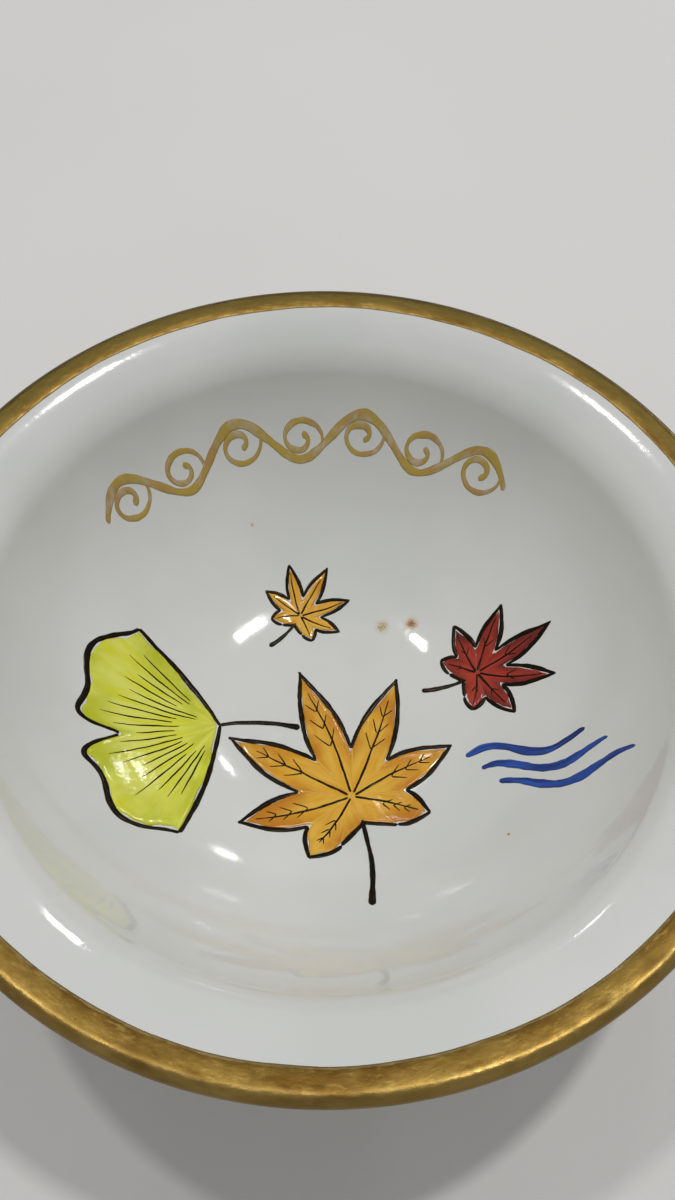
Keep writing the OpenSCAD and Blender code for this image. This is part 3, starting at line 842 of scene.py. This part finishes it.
def stroke(path, width, height, base, swell, seed):
    """One brush stroke: a crowned ribbon carried along a plan path on the inside surface, with round ends.
    Its width follows the swell and an uneven hand. Returns the shell, and for each point the load of colour,
    the place along and across, and the share of the way to its sides."""
    far = np.concatenate([[0], np.cumsum(np.hypot(*np.diff(path, axis=0).T))])
    count = int(np.clip(far[-1] / STROKE_STEP, *STROKE_ROWS))
    crowded = (1 - np.cos(np.linspace(0, np.pi, count))) / 2
    even = np.linspace(0, 1, count)
    s = far[-1] * (CROWDING * crowded + (1 - CROWDING) * even)
    line = np.stack([np.interp(s, far, path[:, 0]), np.interp(s, far, path[:, 1])], -1)
    head = np.gradient(line, axis=0)
    head /= np.linalg.norm(head, axis=1)[:, None]
    side = np.stack([-head[:, 1], head[:, 0]], -1)
    half = width / 2 * swell(s / far[-1]) * (1 + ripple(s * 0.9, 0.16, seed))
    end = np.clip(np.minimum(s, far[-1] - s) / half, STROKE_END, 1)
    half = half * np.sqrt(np.clip(1 - (1 - end) ** 2, 0, 1))
    line = line + side * ripple(s * 0.55, 0.05, seed + 1)[:, None]
    base = np.interp(s, far, base) if np.ndim(base) else np.full(count, base)
    full = half / (width / 2)
    top = base[:, None] + height * np.clip(full, STROKE_LOW, 1)[:, None] * STROKE_CROWN
    lift = np.where(STROKE_CROWN < 0, base[:, None] - STROKE_SUNK, top)
    across = STROKE_ACROSS * half[:, None]
    place = line[:, None] + side[:, None] * across[..., None]
    rings = on_inside(place[..., 0], place[..., 1], lift)
    poles = [on_inside(line[k, 0], line[k, 1], base[k]) for k in (0, -1)]
    load = np.broadcast_to((0.25 + 0.6 * full)[:, None], across.shape).ravel()
    along = np.broadcast_to(s[:, None], across.shape)
    brush = np.stack([along, across, np.full(across.shape, float(seed))], -1).reshape(-1, 3)
    edge = np.broadcast_to(np.abs(STROKE_ACROSS), across.shape).ravel()
    return (skin(rings, *poles), np.concatenate([load, load[[0, -1]]]),
            np.concatenate([brush, brush[[0, -1]]]), np.concatenate([edge, [0, 0]]))


def tapered(start, end, power=0.7):
    """Swell of a stroke: a share of the width at each end, about full in the middle."""
    return lambda t: start + (end - start) * t + (1 - max(start, end)) * np.sin(np.pi * t) ** power


# Widths, an outline's run past a lobe's tip, and a stalk's bend, all as shares
RIB_W, SIDE_VEIN_W, FAN_RIB_W, STALK_W = 0.55, 0.33, 0.34, 1.3
TIP_PAST, STALK_BEND = 0.35, 0.27

# Seeds of strokes, counted from the seed of the leaf's lines
LOBE_SEEDS, RIB_SEEDS, SIDE_VEIN_SEEDS, HEEL_SEEDS, STALK_SEED = 10, 300, 500, 700, 800
FAN_RIB_SEEDS, FAN_STALK_SEED = 40, 90

# The ginkgo's ribs: count, spread, seed, and the shares of the reach where they start and stop
FAN_RIBS, FAN_RIB_SPREAD = 19, 0.9
FAN_RIB_DICE = 738
FAN_RIB_START = 0.16, 0.34
FAN_RIB_STOP = 0.68, 0.88


def vein(leaf, edge, centre, path, width_share, swell, seed):
    """A fine stroke on top of a leaf's enamel, at the height that the enamel's outline gives."""
    plan = leaf.plan(path)
    share = share_of_way(uneven_outline(edge, centre, leaf.field_seed), path - centre)
    base = enamel_height(share) * pooling(plan[:, 0], plan[:, 1], leaf.field_seed) - VEIN_SUNK
    return stroke(plan, leaf.line_w * width_share, VEIN_H, base, swell, leaf.line_seed + seed)


def outlined(leaf, path, start, end, seed):
    """A stroke of a leaf's outline, tapered to a share of its width at each end."""
    return stroke(leaf.plan(path), leaf.line_w, LINE_H, 0.0, tapered(start, end), leaf.line_seed + seed)


def lobe_sides(leaf, j):
    """A stroke down each side of a lobe, from its notch to a little past its tip."""
    lines = []
    along, half = lobe_side(LOBE_REACH[j], 0.0, 30)
    for hand_side in (-1, 1):
        outline = turned_by(np.stack([along, hand_side * half], -1), LOBE_TURN[j]) * leaf.size
        tip = outline[-1] + (outline[-1] - outline[-3]) * TIP_PAST
        path = np.concatenate([outline[:-1], [tip]])
        lines.append(outlined(leaf, path, 0.55, 0.5, LOBE_SEEDS * j + hand_side))
    return lines


def lobe_veins(leaf, j, edge, middle):
    """The veins of a lobe: a slightly bent rib along its axis, and pairs of side veins."""
    turn, reach = LOBE_TURN[j], LOBE_REACH[j]
    far = 0.82 + 0.05 * math.sin(leaf.line_seed + 2.7 * j)
    u = np.linspace(0.04, 1, 24)
    bend = 0.03 * np.sin(np.pi * u) * math.sin(1.3 * j + leaf.line_seed)
    rib = turned_by(np.stack([far * u, bend], -1), turn) * reach * leaf.size
    lines = [vein(leaf, edge, middle, rib, RIB_W, tapered(0.9, 0.4), RIB_SEEDS + j)]
    v = np.linspace(0, 1, 10)
    for k in range(leaf.side_veins):
        root, run, spread = 0.40 + 0.14 * k, 0.12 - 0.02 * k, 0.075 - 0.012 * k
        for hand_side in (-1, 1):
            twig = np.stack([root + run * v, hand_side * spread * v ** 0.9], -1)
            path = turned_by(twig, turn) * reach * leaf.size
            seed = SIDE_VEIN_SEEDS + 20 * j + 2 * k + hand_side
            lines.append(vein(leaf, edge, middle, path, SIDE_VEIN_W, tapered(0.9, 0.5), seed))
    return lines


def stalk_line(leaf, root, seed):
    """A stalk: a stroke backwards from the heart that bends to one side and thickens to its tip."""
    t = np.linspace(0, 1, 40)
    path = root + leaf.stalk * np.stack([-t, STALK_BEND * t ** 2], -1)
    return stroke(leaf.plan(path), leaf.line_w * STALK_W, LINE_H * 1.1, 0.02,
                  lambda u: 0.62 + 0.38 * u ** 3, leaf.line_seed + seed)


def maple_lines(leaf):
    """A maple leaf's drawing: the sides and veins of each lobe, the heel and the stalk."""
    lines = []
    edge, middle = maple_edge(leaf.size, ENAMEL_INSET)[0], np.zeros(2)
    for j in range(len(LOBE_TURN)):
        lines += lobe_sides(leaf, j) + lobe_veins(leaf, j, edge, middle)
    notch = LOBE_NOTCH * leaf.size * HEEL_NOTCH
    heel = np.array([-MAPLE_HEEL * leaf.size, 0])
    t = np.linspace(0, 1, 14)[:, None]
    for mirror in (1, -1):
        side = (notch + (heel - notch) * t) * [1, mirror]
        lines.append(outlined(leaf, side, 0.6, 0.7, HEEL_SEEDS + mirror))
    lines.append(stalk_line(leaf, heel * 0.3, STALK_SEED))
    return lines


def ginkgo_lines(leaf):
    """A ginkgo leaf's drawing: the edge in two strokes, two sides, fine ribs and the stalk."""
    lines = []
    edge = ginkgo_edge(leaf.size, 0.0)
    cleft, root = FAN_RIM // 2, FAN_RIM + FAN_SIDE
    down, rise = edge[FAN_RIM - 1:root + 1], np.concatenate([edge[root:], edge[:1]])
    for k, part in enumerate([edge[:cleft + 1], edge[cleft:FAN_RIM], down, rise]):
        lines.append(outlined(leaf, part, 0.7, 0.65, k))
    field, centre = ginkgo_edge(leaf.size, ENAMEL_INSET), fan_centre(leaf.size)
    dice = np.random.default_rng(FAN_RIB_DICE)
    starts = dice.uniform(*FAN_RIB_START, FAN_RIBS)
    stops = dice.uniform(*FAN_RIB_STOP, FAN_RIBS)
    for k, a in enumerate(np.linspace(-FAN_RIB_SPREAD, FAN_RIB_SPREAD, FAN_RIBS) * FAN_HALF):
        u = np.linspace(starts[k], stops[k] * float(fan_reach(a)), 22)
        bow = a * (0.9 + 0.1 * u)
        path = leaf.size * u[:, None] * towards(bow)
        lines.append(vein(leaf, field, centre, path, FAN_RIB_W, tapered(0.5, 0.3), FAN_RIB_SEEDS + k))
    lines.append(stalk_line(leaf, np.zeros(2), FAN_STALK_SEED))
    return lines


def drawn(name, lines, finish):
    """One piece from many strokes, with the marks for its finish."""
    shells, load, brush, edge = zip(*lines)
    piece(name, shells, finish, {"load": load, "brush": brush, "edge": edge})


def enamelled(name, fields):
    """One piece from fields of an enamel, with the marks for its finish."""
    shells, edge, brush = zip(*fields)
    piece(name, shells, enamel_finish(name), {"edge": edge, "brush": brush})


# Stream and gold scroll

# The stream: its first stroke's middle, its strokes, and their wave, with angles in degrees
STREAM_AT = np.array([22.0, -7.0])
STREAM_ROWS = 3
STREAM_LEN, STREAM_W, STREAM_GAP, STREAM_LEAD = 12.0, 1.1, 2.3, 1.6
STREAM_WAVE, STREAM_SWEEP, STREAM_SHIFT = 0.9, 400, 35
STREAM_SEEDS = 60

# The scroll: its vine, its strokes, and its curls, sized in shares of a bend
SCROLL_LEN, SCROLL_DROP, SCROLL_SWING, SCROLL_BENDS = 54.0, 8.0, 2.9, 7
SCROLL_BEARING = math.radians(97)
VINE_W, CURL_W, GOLD_H = 0.8, 0.6, 0.07
CURL_SHARE, CURL_START, CURL_SWEEP, CURL_CLOSE = 0.377, math.radians(22), math.radians(450), 0.8
VINE_SEED, CURL_SEEDS = 80, 90


def stream_strokes():
    """Three waved strokes, one in front of the other, each leading the last."""
    t = np.linspace(0, 1, 60)
    strokes = []
    for row in range(STREAM_ROWS):
        wave = STREAM_WAVE * np.sin(np.radians(STREAM_SWEEP * t + STREAM_SHIFT * row))
        along = STREAM_LEN * (t - 0.5) + row * STREAM_LEAD
        path = STREAM_AT + np.stack([along, wave - row * STREAM_GAP], -1)
        strokes.append(stroke(path, STREAM_W, ENAMEL_T, 0.0, tapered(0.5, 0.35), STREAM_SEEDS + row))
    return strokes


def wrapped(flat):
    """A flat drawing laid round the far wall, its height measured down from the shoulder."""
    slope = WALL_SLOPE - flat[:, 1] / WALL_R
    r = FLOOR_R + WALL_R * (np.sin(slope) - math.sin(FLOOR_SLOPE))
    middle = FLOOR_R + WALL_R * (math.sin(WALL_SLOPE - SCROLL_DROP / WALL_R) - math.sin(FLOOR_SLOPE))
    bearing = SCROLL_BEARING - flat[:, 0] / middle
    return r[:, None] * towards(bearing)


def scroll_strokes():
    """A vine that swings along the wall, with a curl wound into each bend."""
    bend = SCROLL_LEN / SCROLL_BENDS
    t = np.linspace(0, 1, FINE)
    swing = SCROLL_SWING * np.sin(np.pi * SCROLL_BENDS * t)
    vine = np.stack([SCROLL_LEN * (t - 0.5), SCROLL_DROP - swing], -1)
    strokes = [stroke(wrapped(vine), VINE_W, GOLD_H, 0.0, tapered(0.45, 0.4, 0.2), VINE_SEED)]
    rise = SCROLL_SWING * math.sin(math.pi * (0.5 + CURL_SHARE * math.cos(CURL_START))) \
        - CURL_SHARE * bend * math.sin(CURL_START)
    u = np.linspace(0, 1, 110)
    reach = CURL_SHARE * bend * (1 - CURL_CLOSE * u)
    a = CURL_START - CURL_SWEEP * u
    for b in range(SCROLL_BENDS):
        side = 1 if b % 2 == 0 else -1
        curl = np.stack([(b + 0.5) * bend - SCROLL_LEN / 2 + reach * np.cos(a),
                         SCROLL_DROP - side * (rise + reach * np.sin(a))], -1)
        strokes.append(stroke(wrapped(curl), CURL_W, GOLD_H, 0.0, tapered(0.6, 0.9), CURL_SEEDS + b))
    return strokes


# Building the cup

inside_glaze()
outside_glaze()
foot_well_glaze()
foot_ring()
lip_gilding()

enamelled("ochre_enamel", [maple_field(MAPLE), maple_field(SMALL_MAPLE)])
enamelled("yellow_enamel", [ginkgo_field(GINKGO)])
enamelled("red_enamel", [maple_field(RED_MAPLE)])
drawn("blue_enamel", stream_strokes(), enamel_finish("blue_enamel"))
drawing = maple_lines(MAPLE) + maple_lines(RED_MAPLE) + maple_lines(SMALL_MAPLE) + ginkgo_lines(GINKGO)
drawn("black_linework", drawing, ink_finish())
drawn("gold_scroll", scroll_strokes(), gold_paint_finish())

clay_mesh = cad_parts["bowl"].data
clay_mesh.materials.clear()
clay_mesh.materials.append(biscuit_finish())


# Floor, light and camera

# The backdrop's glow, the even light on the cup, and the floor's tones, half size and fade in metres
BACKDROP = 0.6
FILL = 0.34
FLOOR_TONE, FLOOR_DRIFT = (0.70, 0.69, 0.67), (0.72, 0.71, 0.69)
FLOOR_HALF = 6.0
FADE_FROM, FADE_TO = 0.2, 0.75

# Lamps: bearing from the far side to the right, and height, in degrees; reach and face in metres; glow
LAMPS = {
    "lamp_right": (43, 73.5, 0.62, 0.030, 0.036, 310.0),
    "lamp_left": (-46, 71, 0.62, 0.030, 0.034, 200.0),
    "far_lamp_right": (20, 53, 0.75, 0.030, 0.022, 60.0),
    "far_lamp_left": (-16, 50, 0.75, 0.030, 0.022, 60.0),
    "side_lamp": (38, 24, 0.8, 0.07, 0.03, 45.0),
    "low_lamp_right": (15, 20, 0.9, 0.045, 0.025, 30.0),
    "low_lamp_left": (-16, 17, 0.9, 0.045, 0.025, 30.0),
}

# The camera: how it looks at the middle of the rim's plane, and its lens in the photograph's pixels
RIM_PLANE = 32.8
CAMERA_REACH = 93.26856
CAMERA_RISE = 1.033957
CAMERA_PAN, CAMERA_TILT, CAMERA_ROLL = 0.009663, -0.003101, -0.014207
FOCAL_PX, LONG_SIDE_PX = 950, 1200
CLIP_START = 5.0


def seen_rays(tree):
    """One for what the camera, a reflection or a clear body sees, nought for light on the cup."""
    rays = tree.nodes.new("ShaderNodeLightPath").outputs
    seen = rays["Is Camera Ray"]
    for kind in ("Is Glossy Ray", "Is Transmission Ray"):
        seen = new_node(tree, "ShaderNodeMath", {0: seen, 1: rays[kind]}, operation="MAXIMUM").outputs[0]
    return seen


def pale_floor():
    """A plain pale floor at the foot's level that fades into the backdrop far from the cup."""
    mesh = bpy.data.meshes.new("floor")
    corners = [(x * FLOOR_HALF, y * FLOOR_HALF, 0) for x, y in ((-1, -1), (1, -1), (1, 1), (-1, 1))]
    mesh.from_pydata(corners, [], [(0, 1, 2, 3)])
    f = Finish("pale_floor", Roughness=0.9)
    f.colour(f.mix(f.span(f.noise(12.0, 2.0), 0.3, 0.7), FLOOR_TONE, FLOOR_DRIFT))
    away = f.node("ShaderNodeVectorMath", {0: f.place}, operation="LENGTH").outputs["Value"]
    far = f.times(f.span(away, FADE_FROM, FADE_TO), seen_rays(f.tree))
    backdrop = f.node("ShaderNodeEmission", {"Color": (1.0, 1.0, 1.0), "Strength": BACKDROP})
    shaders = {0: far, 1: f.surface.outputs["BSDF"], 2: backdrop.outputs["Emission"]}
    blend = f.node("ShaderNodeMixShader", shaders)
    end = next(n for n in f.tree.nodes if n.type == "OUTPUT_MATERIAL")
    feed(f.tree, end.inputs["Surface"], blend.outputs["Shader"])
    mesh.materials.append(f.material)
    obj = placed("floor", mesh)


def lamp(name, bearing, height, reach, wide, deep, glow):
    """A small soft lamp that faces the cup, of a given glow per unit of its face."""
    data = bpy.data.lights.new(name, "AREA")
    data.shape = "RECTANGLE"
    data.size, data.size_y = wide, deep
    data.energy = glow * math.pi * wide * deep
    b, h = math.radians(bearing), math.radians(height)
    direction = Vector((math.sin(b) * math.cos(h), math.cos(b) * math.cos(h), math.sin(h)))
    turn = (-direction).to_track_quat("-Z", "Y").to_matrix().to_4x4()
    place = direction * reach + Vector((0, 0, FLOOR_Z * MM))
    placed(name, data).matrix_world = Matrix.Translation(place) @ turn


def sky():
    """Even light from all round, with the paler backdrop where it is seen."""
    world = bpy.data.worlds.new("studio")
    world.use_nodes = True
    tree = world.node_tree
    background = tree.nodes["Background"].inputs
    glow = {"Value": seen_rays(tree), "To Min": FILL, "To Max": BACKDROP}
    feed(tree, background["Color"], (1.0, 1.0, 1.0))
    feed(tree, background["Strength"], new_node(tree, "ShaderNodeMapRange", glow).outputs["Result"])
    bpy.context.scene.world = world


def photo_camera():
    """The camera over the near lip, as the rim's ellipse in the photograph gives it."""
    back = Vector((0, -math.cos(CAMERA_RISE), math.sin(CAMERA_RISE)))
    right = Vector((1, 0, 0))
    level = Matrix((right, back.cross(right), back)).transposed()
    trim = Matrix.Rotation(CAMERA_ROLL, 3, "Z") @ Matrix.Rotation(CAMERA_TILT, 3, "X") \
        @ Matrix.Rotation(CAMERA_PAN, 3, "Y")
    data = bpy.data.cameras.new("photo_camera")
    data.sensor_width = 36.0
    data.lens = FOCAL_PX / LONG_SIDE_PX * data.sensor_width
    data.clip_start = CLIP_START * MM
    place = (back * CAMERA_REACH + Vector((0, 0, RIM_PLANE))) * MM
    obj = placed("photo_camera", data)
    obj.matrix_world = Matrix.Translation(place) @ (level @ trim.transposed()).to_4x4()
    bpy.context.scene.camera = obj


pale_floor()
sky()
for lamp_name, values in LAMPS.items():
    lamp(lamp_name, *values)
photo_camera()
bpy.context.scene.view_settings.view_transform = "Standard"
